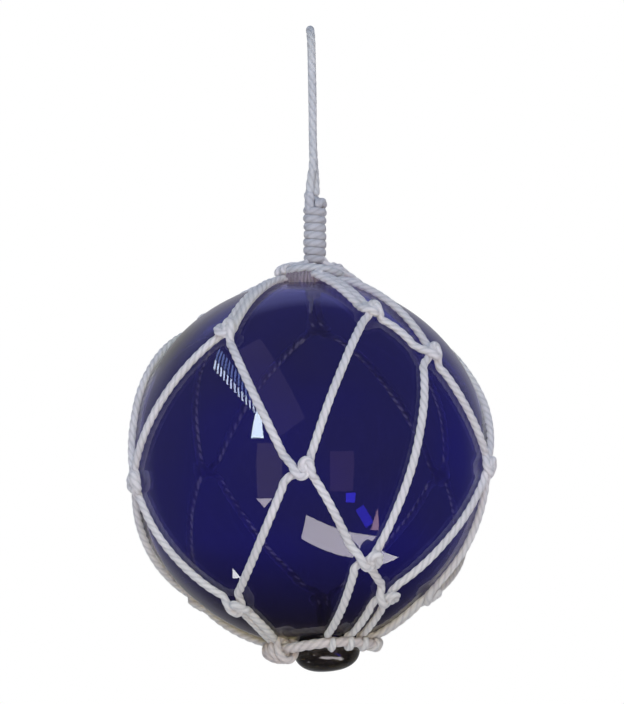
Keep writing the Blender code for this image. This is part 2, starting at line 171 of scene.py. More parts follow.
LEG_REACH = 6.5                        # from a knot's corner to where its runs begin, in millimetres
CORNER_LEFT = -4.6
CORNER_RIGHT = 3.6

# The whipping's tucked end, and the ends of the loop's two legs in it: each rope's radius in metres,
# and its points in millimetres.
TUCKED = [
    (0.0024, [(5.0, 4.9, -97.6), (7.2, 1.6, -95.3), (7.0, -2.4, -93.4), (5.4, -4.4, -93.6),
              (4.6, -4.3, -96.8)]),
    (0.0029, [(-0.3, -1.9, -86.9), (-0.1, -2.3, -90.0), (0.1, -2.9, -93.6), (0.4, -3.2, -97.4),
              (0.9, -2.6, -100.0)]),
    (0.0023, [(3.5, 1.9, -89.4), (3.5, 2.0, -93.0), (3.4, 2.0, -97.0)]),
]
# The hanger's legs under the whipping, in millimetres from the crown ring's centre.
LEFT_FOOT = [(1.0, -1.6, 10.0), (0.6, -1.9, 7.2), (-0.8, -2.6, 4.2), (-4.0, -3.4, 2.2), (-8.6, -3.6, 1.4),
             (-12.8, -3.0, 1.0), (-16.4, -2.0, -0.8), (-18.4, -1.5, -3.4)]
RIGHT_FOOT = [(5.0, -1.0, 10.0), (5.4, -1.2, 7.2), (7.0, -1.6, 4.2), (9.4, -1.6, 1.8), (12.8, -0.8, 0.2),
              (16.4, 0.2, -1.6), (19.4, 1.0, -3.8)]

# The hanging loop's centre line, as in the part: up from the whipping, round the hang point, back down.
LOOP_ROUTE = [
    (-0.0001, -0.0019, -0.0902), (0.0006, -0.0025, -0.0820), (0.0019, -0.0036, -0.0730),
    (0.0020, -0.0049, -0.0640), (0.0018, -0.0062, -0.0540), (0.0017, -0.0076, -0.0430),
    (0.0016, -0.0090, -0.0320), (0.0014, -0.0103, -0.0210), (0.0012, -0.0111, -0.0120),
    (0.0010, -0.0107, -0.0055), (0.0007, -0.0079, -0.0006), (0.0004, -0.0042, 0.0017),
    (0.0002, 0.0000, 0.00225), (0.0004, 0.0042, 0.0017), (0.0007, 0.0079, -0.0006),
    (0.0010, 0.0107, -0.0055), (0.0012, 0.0111, -0.0120), (0.0014, 0.0103, -0.0210),
    (0.0016, 0.0090, -0.0320), (0.0017, 0.0076, -0.0430), (0.0018, 0.0062, -0.0540),
    (0.0021, 0.0049, -0.0640), (0.0027, 0.0036, -0.0730), (0.0033, 0.0025, -0.0820),
    (0.0035, 0.0019, -0.0902),
]
LOOP_DIAMETER = 0.0045


# ---------------------------------------------------------------- points and curves
def direction(longitude, latitude):
    """Unit vector from the ball's centre: longitude 0 is the front, latitude 90 the top."""
    east, north = radians(longitude), radians(latitude)
    return Vector((cos(north) * sin(east), -cos(north) * cos(east), sin(north)))


def on_glass(point, height):
    """The point above the glass at that height, straight out from the ball's centre."""
    return BALL_CENTRE + (point - BALL_CENTRE).normalized() * (BALL_RADIUS + height)


def knot_axes(name):
    """The directions at a knot: straight out from the ball, east and north."""
    outward = direction(*KNOTS[name])
    east = Vector((-outward.y, outward.x, 0.0)).normalized()
    return outward, east, outward.cross(east)


def at_knot(name, right, up, height):
    """A point near a knot, from millimetres to the right, up, and above the glass."""
    outward, east, north = knot_axes(name)
    flat = BALL_CENTRE + outward * BALL_RADIUS + east * (right * MM) + north * (up * MM)
    lift = ROPE_LIFT / MM
    height = lift + (height - lift) * KNOT_FLATNESS.get(name, 1.0)
    return on_glass(flat, height * MM)


def crown_point(angle):
    turn = radians(angle)
    level = Vector((sin(turn), -cos(turn), 0.0)) * CROWN_RADIUS
    return CROWN_CENTRE + level - Vector((0.0, 0.0, CROWN_SAG * sin(turn) ** 2))


def collar_frame():
    polar = asin(COLLAR_RADIUS / (BALL_RADIUS + COLLAR_LIFT))
    turn = COLLAR_TILT.to_matrix()
    drop = (BALL_RADIUS + COLLAR_LIFT) * cos(polar)
    return BALL_CENTRE + turn @ Vector((0.0, 0.0, -drop)), turn


def collar_point(angle):
    centre, turn = collar_frame()
    around = radians(angle)
    return centre + turn @ (Vector((sin(around), -cos(around), 0.0)) * COLLAR_RADIUS)


def smooth(points, spacing, samples=24):
    """Evenly spaced points on a smooth curve through the given ones (centripetal Catmull-Rom).

    A point may carry more values after its three coordinates, which are blended along.
    """
    given = np.array([tuple(point) for point in points], dtype=float)
    given = np.vstack([2 * given[0] - given[1], given, 2 * given[-1] - given[-2]])
    steps = np.linalg.norm(np.diff(given[:, :3], axis=0), axis=1) ** 0.5
    knots = np.concatenate([[0.0], np.cumsum(steps)])
    fine = []
    for first in range(1, len(given) - 2):
        p0, p1, p2, p3 = given[first - 1:first + 3]
        t0, t1, t2, t3 = knots[first - 1:first + 3]
        t = np.linspace(t1, t2, samples, endpoint=False)[:, None]
        a1 = (t1 - t) / (t1 - t0) * p0 + (t - t0) / (t1 - t0) * p1
        a2 = (t2 - t) / (t2 - t1) * p1 + (t - t1) / (t2 - t1) * p2
        a3 = (t3 - t) / (t3 - t2) * p2 + (t - t2) / (t3 - t2) * p3
        b1 = (t2 - t) / (t2 - t0) * a1 + (t - t0) / (t2 - t0) * a2
        b2 = (t3 - t) / (t3 - t1) * a2 + (t - t1) / (t3 - t1) * a3
        fine.append((t2 - t) / (t2 - t1) * b1 + (t - t1) / (t2 - t1) * b2)
    fine.append(given[-2][None])
    return even(np.vstack(fine), spacing)


def even(path, spacing):
    """The same line with its points evenly spaced."""
    lengths = np.linalg.norm(np.diff(path[:, :3], axis=0), axis=1)
    along = np.concatenate([[0.0], np.cumsum(lengths)])
    count = max(3, round(along[-1] / spacing) + 1)
    places = np.linspace(0.0, along[-1], count)
    return np.stack([np.interp(places, along, column) for column in path.T], axis=1)


def great_circle(start, end, bow=0.0, side=0.0, step=0.006):
    """Points of a taut run over the glass. bow pushes its middle sideways, side moves all of it."""
    first, last = start - BALL_CENTRE, end - BALL_CENTRE
    angle = first.angle(last)
    axis = first.cross(last).normalized()
    count = max(3, round(angle * BALL_RADIUS / step))
    points = []
    for index in range(count + 1):
        share = index / count
        height = first.length + (last.length - first.length) * share
        outward = Matrix.Rotation(angle * share, 3, axis) @ first.normalized()
        shifted = outward * height + axis * (side + bow * sin(pi * share))
        points.append(BALL_CENTRE + shifted.normalized() * height)
    return points


def nearest_to(path, spot):
    """The index of the path's point nearest to the spot, and the way out from the ball there."""
    index = int(np.argmin(np.linalg.norm(path[:, :3] - np.array(spot), axis=1)))
    outward = path[index, :3] - np.array(BALL_CENTRE)
    return index, outward / np.linalg.norm(outward)


# ---------------------------------------------------------------- objects
def linked(name, data):
    """A new object with that data, in the scene."""
    made = bpy.data.objects.new(name, data)
    bpy.context.scene.collection.objects.link(made)
    return made


def mesh_of(name, vertices, faces, material):
    mesh = bpy.data.meshes.new(name)
    mesh.from_pydata(vertices, [], faces)
    mesh.materials.append(material)
    return mesh


def dressed(piece, slot, *nodes):
    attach(piece, "root")
    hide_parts(*nodes)
    return piece


# ---------------------------------------------------------------- laid rope
def strand_outline():
    """A laid rope's outline as shares of its radius, one for each vertex."""
    per_strand = RING_POINTS // STRANDS
    reach = []
    for index in range(RING_POINTS):
        share = (index % per_strand) / per_strand - 0.5
        turn = share * tau / STRANDS
        height = STRAND_SPREAD * cos(turn) + (1 - (STRAND_SPREAD * sin(turn)) ** 2) ** 0.5
        reach.append(height / (1 + STRAND_SPREAD))
    return np.array(reach)


OUTLINE = strand_outline()


def carried_frames(path, start, normal):
    """A normal for each point, carried along the path from one point without turning."""
    tangents = np.gradient(path, axis=0)
    tangents /= np.linalg.norm(tangents, axis=1)[:, None]
    normals = np.zeros_like(path)
    normal = normal - tangents[start] * (normal @ tangents[start])
    normals[start] = normal / np.linalg.norm(normal)
    for order in (range(start + 1, len(path)), range(start - 1, -1, -1)):
        before = start
        for index in order:
            carried = normals[before] - tangents[index] * (normals[before] @ tangents[index])
            normals[index] = carried / np.linalg.norm(carried)
            before = index
    return tangents, normals


class RopeWork:
    """Laid ropes, gathered into one mesh."""

    def __init__(self, seed):
        self.vertices, self.faces, self.patterns = [], [], []
        self.count = 0
        self.phases = np.random.default_rng(seed)

    def lay(self, path, radius=ROPE_RADIUS, press=1.0, towards=None, start=None, closed=False,
            wobble=0.00022, relief=1.0):
        """Adds one rope along evenly spaced points. radius and press may be given for each point.

        press flattens it along its normal, which starts as the direction away from the ball, or
        as towards, at the point with the index start. A direction for each point holds all along.
        relief is the depth of the strands' grooves, as a share of the usual.
        """
        path = np.asarray(path, dtype=float)[:, :3].copy()
        count = len(path)
        radius = np.broadcast_to(np.asarray(radius, dtype=float), (count,)).copy()
        press = np.broadcast_to(np.asarray(press, dtype=float), (count,))
        relief = np.broadcast_to(np.asarray(relief, dtype=float), (count,))
        phase = self.phases.uniform(0, tau)
        seed = Vector(self.phases.uniform(-50, 50, 3))
        spacing = np.linalg.norm(np.diff(path, axis=0), axis=1).mean()
        along = np.arange(count) * spacing
        total = along[-1] + (spacing if closed else 0.0)
        twist = TWIST
        if closed:
            thirds = max(1, round(STRANDS * total / LAY))
            twist = -tau * thirds / (STRANDS * total)
        else:
            for index in range(count):
                drift = noise.noise_vector(seed + Vector((along[index] * 45, 0.0, 0.0)))
                path[index] += np.array(drift) * wobble
            radius *= 1 + 0.035 * np.array([
                noise.noise(seed + Vector((0.0, place * 70, 0.0))) for place in along
            ])
        start = count // 2 if start is None else start
        held = closed or np.ndim(towards) == 2
        if held:
            ahead = np.roll(path, -1, axis=0) - np.roll(path, 1, axis=0)
            tangents = ahead if closed else np.gradient(path, axis=0)
            tangents /= np.linalg.norm(tangents, axis=1)[:, None]
            fixed = np.broadcast_to(np.array(towards, dtype=float), (count, 3))
            normals = fixed - tangents * (tangents * fixed).sum(axis=1)[:, None]
            normals /= np.linalg.norm(normals, axis=1)[:, None]
        else:
            outward = path[start] - np.array(BALL_CENTRE) if towards is None else np.array(towards)
            tangents, normals = carried_frames(path, start, outward)
        if not closed:
            rounding = np.minimum(along, total - along) / (radius * 0.9)
            radius *= np.sqrt(1 - (1 - np.clip(rounding, 0.02, 1)) ** 2)
        sideways = np.cross(tangents, normals)
        angle = tau * np.arange(RING_POINTS) / RING_POINTS
        turned = angle[None, :] + (phase + twist * along)[:, None]
        reach = radius[:, None] * (1 - relief[:, None] * (1 - OUTLINE[None, :]))
        out = (reach * np.cos(turned) * press[:, None])[:, :, None]
        across = (reach * np.sin(turned))[:, :, None]
        vertices = path[:, None, :] + out * normals[:, None, :] + across * sideways[:, None, :]
        self.vertices.append(vertices.reshape(-1, 3))
        rings = count if closed else count - 1
        near = np.arange(rings)
        far = (near + 1) % count
        side = np.arange(RING_POINTS)
        after = (side + 1) % RING_POINTS
        meets = np.where(far == 0, thirds * RING_POINTS // STRANDS if closed else 0, 0)[:, None]
        corners = np.stack([
            near[:, None] * RING_POINTS + side[None, :],
            far[:, None] * RING_POINTS + (side[None, :] - meets) % RING_POINTS,
            far[:, None] * RING_POINTS + (after[None, :] - meets) % RING_POINTS,
            near[:, None] * RING_POINTS + after[None, :],
        ], axis=-1).reshape(-1, 4)
        self.faces.append(corners[:, ::-1] + self.count)
        lengths = np.stack([
            np.broadcast_to(along[:rings, None], (rings, RING_POINTS)),
            np.broadcast_to((along[:rings] + spacing)[:, None], (rings, RING_POINTS)),
        ], axis=-1)
        edges = np.stack([side, side + 1], axis=-1) / RING_POINTS
        edges = np.broadcast_to(edges, (rings, RING_POINTS, 2))
        pattern = np.stack([
            np.stack([lengths[..., 0], edges[..., 0]], axis=-1),
            np.stack([lengths[..., 1], edges[..., 0]], axis=-1),
            np.stack([lengths[..., 1], edges[..., 1]], axis=-1),
            np.stack([lengths[..., 0], edges[..., 1]], axis=-1),
        ], axis=2)[:, :, ::-1]
        offset = np.full(pattern.shape[:-1] + (1,), float(self.phases.uniform(0, 10)))
        self.patterns.append(np.concatenate([pattern, offset], axis=-1).reshape(-1, 3))
        if not closed:
            for ring, flip in ((0, False), (count - 1, True)):
                loop = ring * RING_POINTS + np.arange(RING_POINTS) + self.count
                half = RING_POINTS // 2
                for step in range(half - 1):
                    cap = [loop[step], loop[step + 1], loop[-step - 2], loop[-step - 1]]
                    self.faces.append(np.array([cap if flip else cap[::-1]]))
                    self.patterns.append(np.zeros((4, 3)))
        self.count += count * RING_POINTS

    def piece(self, name, material, *nodes):
        """The mesh object of all the ropes so far, riding on the body in place of the nodes."""
        vertices = np.concatenate(self.vertices).astype(np.float32)
        faces = np.concatenate(self.faces).astype(np.int32)
        mesh = bpy.data.meshes.new(name)
        mesh.vertices.add(len(vertices))
        mesh.vertices.foreach_set("co", vertices.ravel())
        mesh.loops.add(faces.size)
        mesh.loops.foreach_set("vertex_index", faces.ravel())
        mesh.polygons.add(len(faces))
        mesh.polygons.foreach_set("loop_start", np.arange(len(faces), dtype=np.int32) * 4)
        mesh.update(calc_edges=True)
        lay = mesh.attributes.new("lay", "FLOAT_VECTOR", "CORNER")
        lay.data.foreach_set("vector", np.concatenate(self.patterns).astype(np.float32).ravel())
        mesh.validate()
        mesh.shade_smooth()
        mesh.materials.append(material)
        return dressed(linked(name, mesh), "cotton_rope", *nodes)


# ---------------------------------------------------------------- materials
def new_material(name):
    made = bpy.data.materials.new(name)
    made.use_nodes = True
    tree = made.node_tree
    return made, tree, tree.nodes["Principled BSDF"]


def node(tree, kind, **settings):
    made = tree.nodes.new(kind)
    for name, value in settings.items():
        setattr(made, name, value)
    return made


def math(tree, operation, *values):
    """A Math node. Each value is a number or the socket that it comes from."""
    made = node(tree, "ShaderNodeMath", operation=operation)
    for socket, value in zip(made.inputs, values):
        if isinstance(value, (int, float)):
            socket.default_value = value
        else:
            tree.links.new(value, socket)
    return made.outputs[0]


def mixed(tree, share, first, second):
    """A colour Mix node. Each colour is a tuple or the socket that it comes from."""
    made = node(tree, "ShaderNodeMix", data_type="RGBA")
    for socket, value in ((made.inputs[0], share), (made.inputs[6], first), (made.inputs[7], second)):
        if isinstance(value, (int, float)):
            socket.default_value = value
        elif isinstance(value, tuple):
            socket.default_value = (*value, 1.0)
        else:
            tree.links.new(value, socket)
    return made.outputs[2]


def ranged(tree, value, low, high, to_low, to_high):
    made = node(tree, "ShaderNodeMapRange")
    made.clamp = True
    tree.links.new(value, made.inputs[0])
    for socket, number in zip(made.inputs[1:5], (low, high, to_low, to_high)):
        socket.default_value = number
    return made.outputs[0]


def split(tree, vector):
    """The sockets of a vector's three components."""
    made = node(tree, "ShaderNodeSeparateXYZ")
    tree.links.new(vector, made.inputs[0])
    return made.outputs


def bumped(tree, shader, height, strength, distance):
    bump = node(tree, "ShaderNodeBump")
    bump.inputs["Strength"].default_value = strength
    bump.inputs["Distance"].default_value = distance
    tree.links.new(height, bump.inputs["Height"])
    tree.links.new(bump.outputs[0], shader.inputs["Normal"])


def noise_at(tree, vector, scale, detail=3.0, roughness=0.55):
    made = node(tree, "ShaderNodeTexNoise")
    made.inputs["Scale"].default_value = scale
    made.inputs["Detail"].default_value = detail
    made.inputs["Roughness"].default_value = roughness
    tree.links.new(vector, made.inputs["Vector"])
    return made.outputs["Fac"]


def rope_material(name, light, dark, stain_and_low_shade):
    """Soft three-strand cotton: yarns along the rope, painted shade in the grooves between the strands,
    painted shade turning it darker and browner towards the bottom, faint stains and loose fibres.
    """
    made, tree, shader = new_material(name)
    lay = node(tree, "ShaderNodeAttribute", attribute_name="lay")
    length, around = split(tree, lay.outputs["Vector"])[:2]
    place = node(tree, "ShaderNodeTexCoord").outputs["Object"]
    strand = math(tree, "COSINE", math(tree, "MULTIPLY", around, tau * STRANDS))
    # Where the grooves between the strands lie, for the painted shade in them below.
    groove_shade = ranged(tree, strand, 0.0, 1.0, 0.0, 1.0)
    turns = math(tree, "SUBTRACT", around, math(tree, "DIVIDE", length, LAY))
    yarns = math(tree, "SINE", math(tree, "MULTIPLY", turns, tau * 24))
    fibres = noise_at(tree, place, 2600.0, 4.0, 0.65)
    patches = noise_at(tree, place, 55.0, 3.0)
    stains = noise_at(tree, place, 21.0, 2.0)
    colour = mixed(tree, ranged(tree, patches, 0.35, 0.70, 0.0, 1.0), light, dark)
    colour = mixed(tree, ranged(tree, stains, 0.52, 0.72, 0.0, 0.55), colour, stain_and_low_shade)
    # Painted shade: from about the ball's middle down, the colour turns towards the stain colour, darker and
    # browner near the bottom.
    colour = mixed(tree, ranged(tree, split(tree, place)[2], -0.325, -0.25, 0.65, 0.0), colour, stain_and_low_shade)
    # Painted shade: the grooves between the strands darkened towards half the dark colour.
    colour = mixed(tree, math(tree, "MULTIPLY", groove_shade, 0.38), colour, tuple(0.5 * c for c in dark))
    colour = mixed(tree, ranged(tree, fibres, 0.35, 0.65, 0.0, 0.22), colour, (0.86, 0.85, 0.86))
    tree.links.new(colour, shader.inputs["Base Color"])
    tree.links.new(ranged(tree, fibres, 0.3, 0.7, 0.78, 0.95), shader.inputs["Roughness"])
    shader.inputs["Specular IOR Level"].default_value = 0.25
    shader.inputs["Sheen Weight"].default_value = 0.25
    shader.inputs["Sheen Roughness"].default_value = 0.5
    height = math(tree, "ADD", math(tree, "MULTIPLY", yarns, 0.35), fibres)
    bumped(tree, shader, height, 0.55, 0.00025)
    return made


def glass_material():
    """Cobalt glass: clear, darker towards its thick base, with faint ripples."""
    made, tree, shader = new_material("cobalt_glass")
    place = node(tree, "ShaderNodeTexCoord").outputs["Object"]
    low = BALL_CENTRE.z - BALL_RADIUS
    depth = ranged(tree, split(tree, place)[2], low, low + THICK_BASE, 1.0, 0.0)
    swirl = noise_at(tree, place, 9.0, 2.0)
    swirl = ranged(tree, swirl, 0.35, 0.65, 0.0, 1.0)
    body = mixed(tree, swirl, (0.215, 0.200, 0.760), (0.262, 0.250, 0.540))
    colour = mixed(tree, depth, body, (0.165, 0.140, 0.155))
    tree.links.new(colour, shader.inputs["Base Color"])
    shader.inputs["Transmission Weight"].default_value = 1.0
    shader.inputs["IOR"].default_value = 1.5
    shader.inputs["Specular IOR Level"].default_value = 0.5
    smears = noise_at(tree, place, 40.0, 4.0)
    tree.links.new(ranged(tree, smears, 0.45, 0.80, 0.015, 0.06), shader.inputs["Roughness"])
    bumped(tree, shader, noise_at(tree, place, 28.0, 1.0), 0.20, 0.0006)
    return made


def seal_material():
    """The same glass where it is thick enough to look nearly black."""
    made, tree, shader = new_material("cobalt_glass_thick")
    place = node(tree, "ShaderNodeTexCoord").outputs["Object"]
    swirl = noise_at(tree, place, 90.0, 3.0)
    cloud = ranged(tree, swirl, 0.4, 0.65, 0.0, 1.0)
    colour = mixed(tree, cloud, (0.045, 0.038, 0.045), (0.095, 0.082, 0.080))
    tree.links.new(colour, shader.inputs["Base Color"])
    shader.inputs["Transmission Weight"].default_value = 0.75
    shader.inputs["IOR"].default_value = 1.5
    tree.links.new(ranged(tree, swirl, 0.3, 0.7, 0.06, 0.16), shader.inputs["Roughness"])
    bumped(tree, shader, noise_at(tree, place, 160.0, 2.0), 0.35, 0.0006)
    return made


# ---------------------------------------------------------------- camera
def aim(thing, target):
    thing.rotation_mode = "QUATERNION"
    thing.rotation_quaternion = (Vector(target) - thing.location).to_track_quat("-Z", "Y")


def make_camera():
    data = bpy.data.cameras.new("camera")
    data.lens = 185.0
    camera = linked("camera", data)
    camera.location = (0.0014, -2.0, -0.228)
    aim(camera, (0.0014, 0.0, -0.1763))
    bpy.context.scene.camera = camera


# ---------------------------------------------------------------- the hanging loop
def make_loop(material):
    path = smooth(LOOP_ROUTE, STATION)[:, :3]
    work = RopeWork(seed=3)
    work.lay(path, LOOP_DIAMETER / 2 * 1.03, towards=(1.0, 0.0, 0.0), wobble=0.00012)
    loop = work.piece("hanging_rope", material, "hanging_loop")


# ---------------------------------------------------------------- the net
def leg_start(name, leg):
    """Where a knot's leg turns into a run."""
    lift = ROPE_LIFT / MM
    place = LEG_PLACES.get(name, (None,) * 4)[leg]
    if place:
        return at_knot(name, *place, lift)
    other = LEGS[name][leg]
    upper, right = leg < 2, leg % 2 == 1
    corner = CORNER_RIGHT if right else CORNER_LEFT
    if other in KNOTS:
        goal = above(other)
    elif other == "crown":
        goal = crown_point(CROWN_RUNS[name][0])
    else:
        goal = collar_point(COLLAR_RUNS[name][0])
    east, north = knot_axes(name)[1:]
    way = goal - above(name)
    across, along = way.dot(east), way.dot(north)
    size = (across ** 2 + along ** 2) ** 0.5
    across, along = across / size, along / size
    if other in ("crown", "collar") and LEGS[name].count(other) == 2:
        spacing = (CROWN_RUNS if other == "crown" else COLLAR_RUNS)[name][1] / MM
        side = (1 if right else -1) * (1 if upper else -1) * spacing
        reach = LEG_REACH * 1.2
        return at_knot(name, across * reach + along * side, along * reach - across * side, lift)
    return at_knot(name, corner + across * LEG_REACH, along * LEG_REACH, lift)


def above(name):
    return BALL_CENTRE + direction(*KNOTS[name]) * (BALL_RADIUS + ROPE_LIFT)


def knot_points(name, spots):
    size = KNOT_SIZES.get(name, KNOT_SIZE)
    return [at_knot(name, right * size, up * size, height) for right, up, height in spots]


def inside_knot(name, leg):
    """The rest of a leg's rope, from its run into the knot, as points.

    The upper left leg makes the bight and the lower right one goes round it. The other two end
    out of sight, in the middle of the knot.
    """
    if leg == 0:
        return knot_points(name, BIGHT)
    if leg == 1:
        return knot_points(name, reversed(BIGHT[3:]))
    if leg == 2:
        return knot_points(name, reversed(BEND[4:]))
    return knot_points(name, BEND)


def leg_to(name, other):
    """Which of a knot's legs runs to the other knot."""
    return LEGS[name].index(other)


def lay_run(work, upper_points, lower_points, bow, start, end):
    """One rope from inside one knot, over the glass, into the next or onto a ring."""
    run = great_circle(start, end, bow=bow)
    points = list(reversed(upper_points)) + run + list(lower_points)
    path = smooth(points, STATION)
    nearest, outward = nearest_to(path, run[len(run) // 2])
    heights = np.linalg.norm(path[:, :3] - np.array(BALL_CENTRE), axis=1) - BALL_RADIUS
    press = np.interp(heights, [0.0022, 0.0036], [ROPE_PRESS, 1.0])
    relief = np.interp(heights, [0.0022, 0.0042], [1.0, 0.7])
    work.lay(path, ROPE_RADIUS, press, towards=outward, start=nearest, relief=relief)


def make_runs(material):
    for part, pick in (("front", True), ("back", False)):
        work = RopeWork(seed=11 if pick else 12)
        for first, last, bow in RUNS:
            middle = direction(*KNOTS[first]) + direction(*KNOTS[last])
            if (middle.y < 0) != pick:
                continue
            out, back = leg_to(first, last), leg_to(last, first)
            lay_run(work, inside_knot(first, out), inside_knot(last, back), bow,
                    leg_start(first, out), leg_start(last, back))
        for name in KNOTS:
            if (direction(*KNOTS[name]).y < 0) == pick:
                core = smooth(knot_points(name, CORE), STATION)
                work.lay(core, CORE_RADIUS, relief=0.6)
        work.piece("net_" + part, material, "netting")


def ring_spot(ring, angle):
    """A ring's point, its line's direction, straight out from the ball, and away from its middle."""
    at = crown_point if ring == "crown" else collar_point
    point = at(angle)
    along = (at(angle + 1) - at(angle - 1)).normalized()
    out = point - BALL_CENTRE
    out = (out - along * out.dot(along)).normalized()
    centre = CROWN_CENTRE if ring == "crown" else collar_frame()[0]
    away = point - centre
    away = (away - along * away.dot(along))
    away = (away - out * away.dot(out)).normalized()
    return point, along, out, away


def hitch_points(ring, angle, shift, lean):
    """Points of a rope's end hitched over a ring: under it, round its inside, over it and down."""
    point, along, out, away = ring_spot(ring, angle)
    below, reach = (0.0034, 0.0027) if ring == "crown" else (0.0036, 0.0033)
    turns = [
        (away * 0.0046 - out * (below - 0.0002)), (-out * below), (-away * reach * 0.9 - out * reach * 0.3),
        (-away * reach * 0.55 + out * reach * 0.8), (out * reach * 1.02 + away * reach * 0.2),
        (away * reach * 0.95 + out * reach * 0.35), (away * reach * 0.8 - out * reach * 0.55),
    ]
    count = len(turns) - 1
    return [
        point + along * (shift + lean * index / count) + turn for index, turn in enumerate(turns)
    ]


def over_points(angle, shift):
    """Points of a rope's end laid over the crown's ring from outside, and tucked in under it."""
    point, along, out, away = ring_spot("crown", angle)
    turns = [
        (away * 0.0034 + out * 0.0026), (out * 0.0044 + away * 0.0006), (-away * 0.0032 + out * 0.0028),
        (-away * 0.0042 - out * 0.0004), (-away * 0.0020 - out * 0.0036),
    ]
    return [point + along * shift + turn for turn in turns]


def bridged(run):
    """The run's points, lifted where a taut rope leaves the glass for the top of the crown's ring."""
    top = (run[-1] - BALL_CENTRE).length
    low = (run[0] - BALL_CENTRE).length
    lifted = []
    for point in run:
        near = max(0.0, 1 - (point - run[-1]).length / TAUT)
        height = low + (top - low) * near ** 2
        lifted.append(BALL_CENTRE + (point - BALL_CENTRE).normalized() * height)
    return lifted


def make_ends(material):
    """The doubled runs to the rings, with their hitches, and the lacing's two single ends."""
    work = RopeWork(seed=21)
    for ring, runs in (("crown", CROWN_RUNS), ("collar", COLLAR_RUNS)):
        for name, (angle, spacing) in runs.items():
            legs = [leg for leg in range(4) if LEGS[name][leg] == ring]
            for leg in legs:
                sign = (1 if leg % 2 else -1) if len(legs) == 2 else 0
                shift = sign * spacing
                if ring == "crown" and name in LAID_OVER:
                    curl = over_points(angle, shift)
                else:
                    curl = hitch_points(ring, angle, shift, sign * 0.0012 if sign else 0.003)
                    curl = curl[:3] if ring == "crown" and name in TUCKED_UNDER else curl
                thin = HITCH_ROPE / ROPE_RADIUS
                start = leg_start(name, leg)
                bow = COLLAR_BOWS.get(name, 0.0) if ring == "collar" else 0.0
                run = great_circle(start, curl[0], bow=bow, step=0.005)
                run = bridged(run) if ring == "crown" and name in LAID_OVER else run
                inner = list(reversed(inside_knot(name, leg)))
                points = inner + run + curl[1:]
                sizes = [1.0] * (len(inner) + len(run) - 2) + [0.96, 0.9] + [thin] * (len(curl) - 1)
                path = smooth([(*p, size) for p, size in zip(points, sizes)], STATION)
                nearest, outward = nearest_to(path, run[len(run) // 2])
                work.lay(path, ROPE_RADIUS * path[:, 3], ROPE_PRESS, towards=outward, start=nearest)
    lump = [CROWN_CENTRE + Vector(spot) * MM for spot in U2_LUMP]
    work.lay(smooth(lump, STATION), LUMP_ROPE, towards=FRONT, start=0, relief=0.7)
    work.piece("net_ends", material, "netting")


# ---------------------------------------------------------------- the rings
def ring_path(centre, turn, radius, spacing=STATION, lift=0.0004):
    count = round(tau * radius / spacing)
    points = []
    for index in range(count):
        around = tau * index / count
        rise = lift * sin(3 * around + 1.0)
        points.append(centre + turn @ Vector((sin(around) * radius, -cos(around) * radius, rise)))
    return np.array([tuple(point) for point in points])


def make_rings(crown_cotton, material, shaded):
    crown = RopeWork(seed=31)
    count = round(tau * CROWN_RADIUS / STATION)
    path = [tuple(crown_point(360 * index / count)) for index in range(count)]
    crown.lay(path, CROWN_ROPE, towards=UP, closed=True)
    crown.piece("crown_rope", crown_cotton, "crown_ring")
    drawstring = RopeWork(seed=33)
    rise = ((BALL_RADIUS + ROPE_LIFT) ** 2 - DRAWSTRING_RADIUS ** 2) ** 0.5
    middle = Vector((CROWN_CENTRE.x, CROWN_CENTRE.y, BALL_CENTRE.z + rise))
    drawstring.lay(ring_path(middle, Matrix.Identity(3), DRAWSTRING_RADIUS), ROPE_RADIUS,
                   towards=UP, closed=True)
    coil = []
    turns, steps, first, last = 9, 10, -44, 10
    for index in range(turns * steps + 1):
        around = radians(first + (last - first) * index / (turns * steps))
        turned = tau * index / steps
        reach = DRAWSTRING_RADIUS + LACING_REACH * cos(turned)
        coil.append((CROWN_CENTRE.x + sin(around) * reach, CROWN_CENTRE.y - cos(around) * reach,
                     BALL_CENTRE.z + rise + LACING_REACH * sin(turned)))
    drawstring.lay(smooth(coil, STATION), LACING_ROPE, towards=UP, start=0)
    drawstring.piece("crown_drawstring", shaded, "netting")
    centre, turn = collar_frame()
    collar = RopeWork(seed=32)
    collar.lay(ring_path(centre, turn, COLLAR_RADIUS), COLLAR_ROPE,
               towards=turn @ Vector((0.0, 0.0, 1.0)), closed=True)
    collar.piece("collar_rope", material, "bottom_ring")


def make_gather(material):
    """The lump at the bottom ring's left, where the net's last rope is wound round it in a fan."""
    work = RopeWork(seed=41)
    points = []
    turns, first, last = 6, -99, -45
    steps = 12
    for index in range(turns * steps + 1):
        turned = index / steps
        slanted = turned - 0.6 * sin(tau * (turned + 0.25)) / tau
        share = min(1.0, max(0.0, slanted / turns))
        point, along, out, away = ring_spot("collar", first + (last - first) * share)
        beta = tau * (turned + 0.25) - pi
        swell = sin(pi * (0.06 + 0.88 * share)) ** 0.5
        reach = 0.0040 + 0.0024 * swell
        high = 0.0032 + 0.0036 * share
        points.append(point + away * (reach * cos(beta)) + out * (high * sin(beta) + 0.0004))
    path = smooth(points, STATION)
    work.lay(path, GATHER_ROPE, towards=(0.0, 1.0, 0.0), start=0, relief=0.7)
    work.piece("collar_gather", material, "bottom_ring", "netting")


